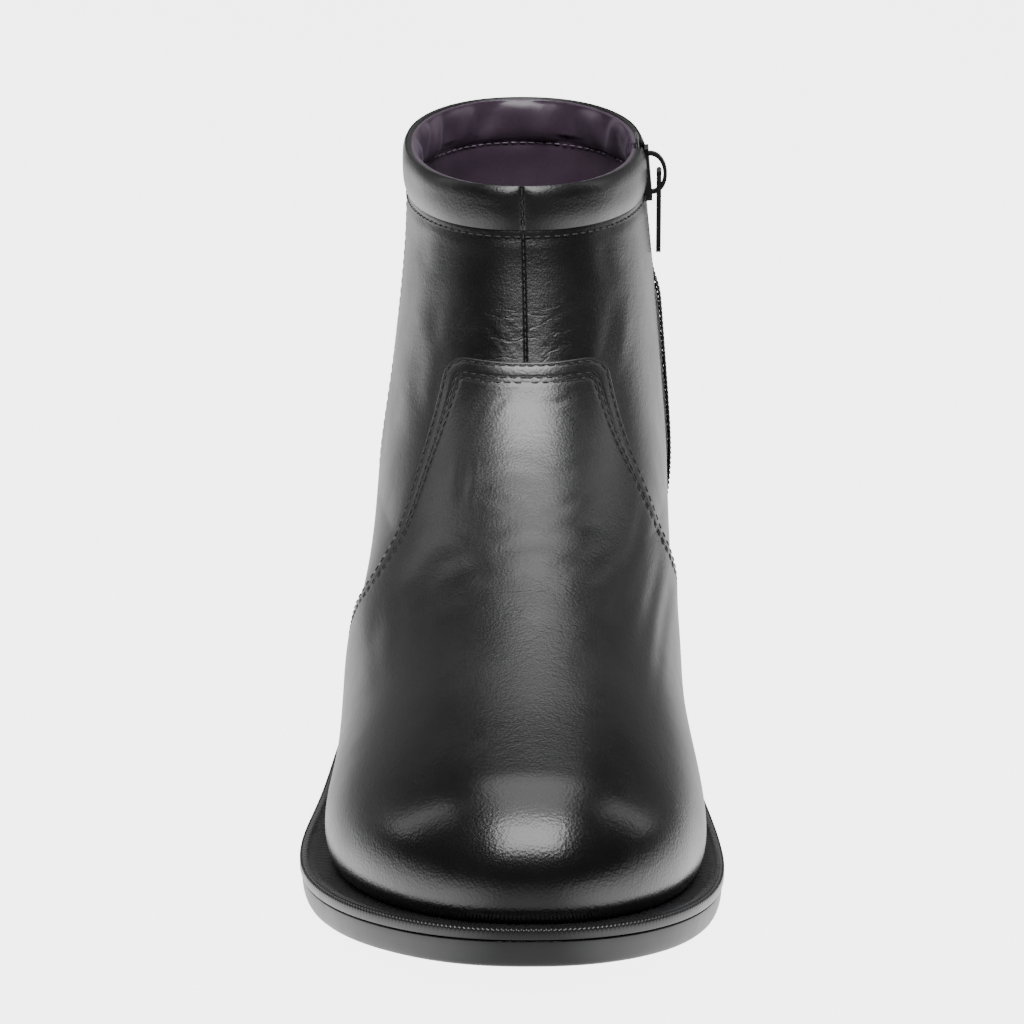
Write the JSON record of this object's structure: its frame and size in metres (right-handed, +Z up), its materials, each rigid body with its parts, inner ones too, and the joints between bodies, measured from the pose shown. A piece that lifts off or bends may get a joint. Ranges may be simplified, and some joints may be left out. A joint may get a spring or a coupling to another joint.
{
  "type": "zip ankle boot",
  "caption": "Right-foot leather ankle boot with a plain vamp, padded collar, inner side zip with a swinging pull tab, welted rubber sole and low stacked heel.",
  "frame": {"origin": "middle of the heel's tread, on the floor the boot stands on", "axes": "+Z up, the toe points to -Y, +X is the inner side of the foot, where the zip is"},
  "size_m": [0.1111, 0.3051, 0.1648],
  "materials": {
    "upper_leather": "smooth black calf leather, semi-gloss",
    "vamp_leather": "smooth black calf leather, polished",
    "welt": "black, satin, ribbed along its edge",
    "rubber": "black, satin",
    "insole": "dark purple-grey, matte",
    "zip_fabric": "woven black tape",
    "zip_coil": "black plastic teeth",
    "zip_metal": "blackened metal, satin"
  },
  "bodies": {
    "boot": {"upper": "upper_leather", "vamp": "vamp_leather", "welt": "welt", "outsole": "rubber", "heel_stack": "rubber", "top_lift": "rubber", "insole": "insole", "zip_tape": "zip_fabric", "zip_chain": "zip_coil", "zip_slider": "zip_metal"},
    "pull": {"zip_pull": "zip_metal"}
  },
  "joints": [
    {"name": "pull_swing", "type": "hinge", "parent": "boot", "child": "pull", "pos_m": [0.03947, -0.03316, 0.15436], "axis": [-0.0289, -0.9995, 0.0108], "range_deg": [-2, 170]}
  ]
}
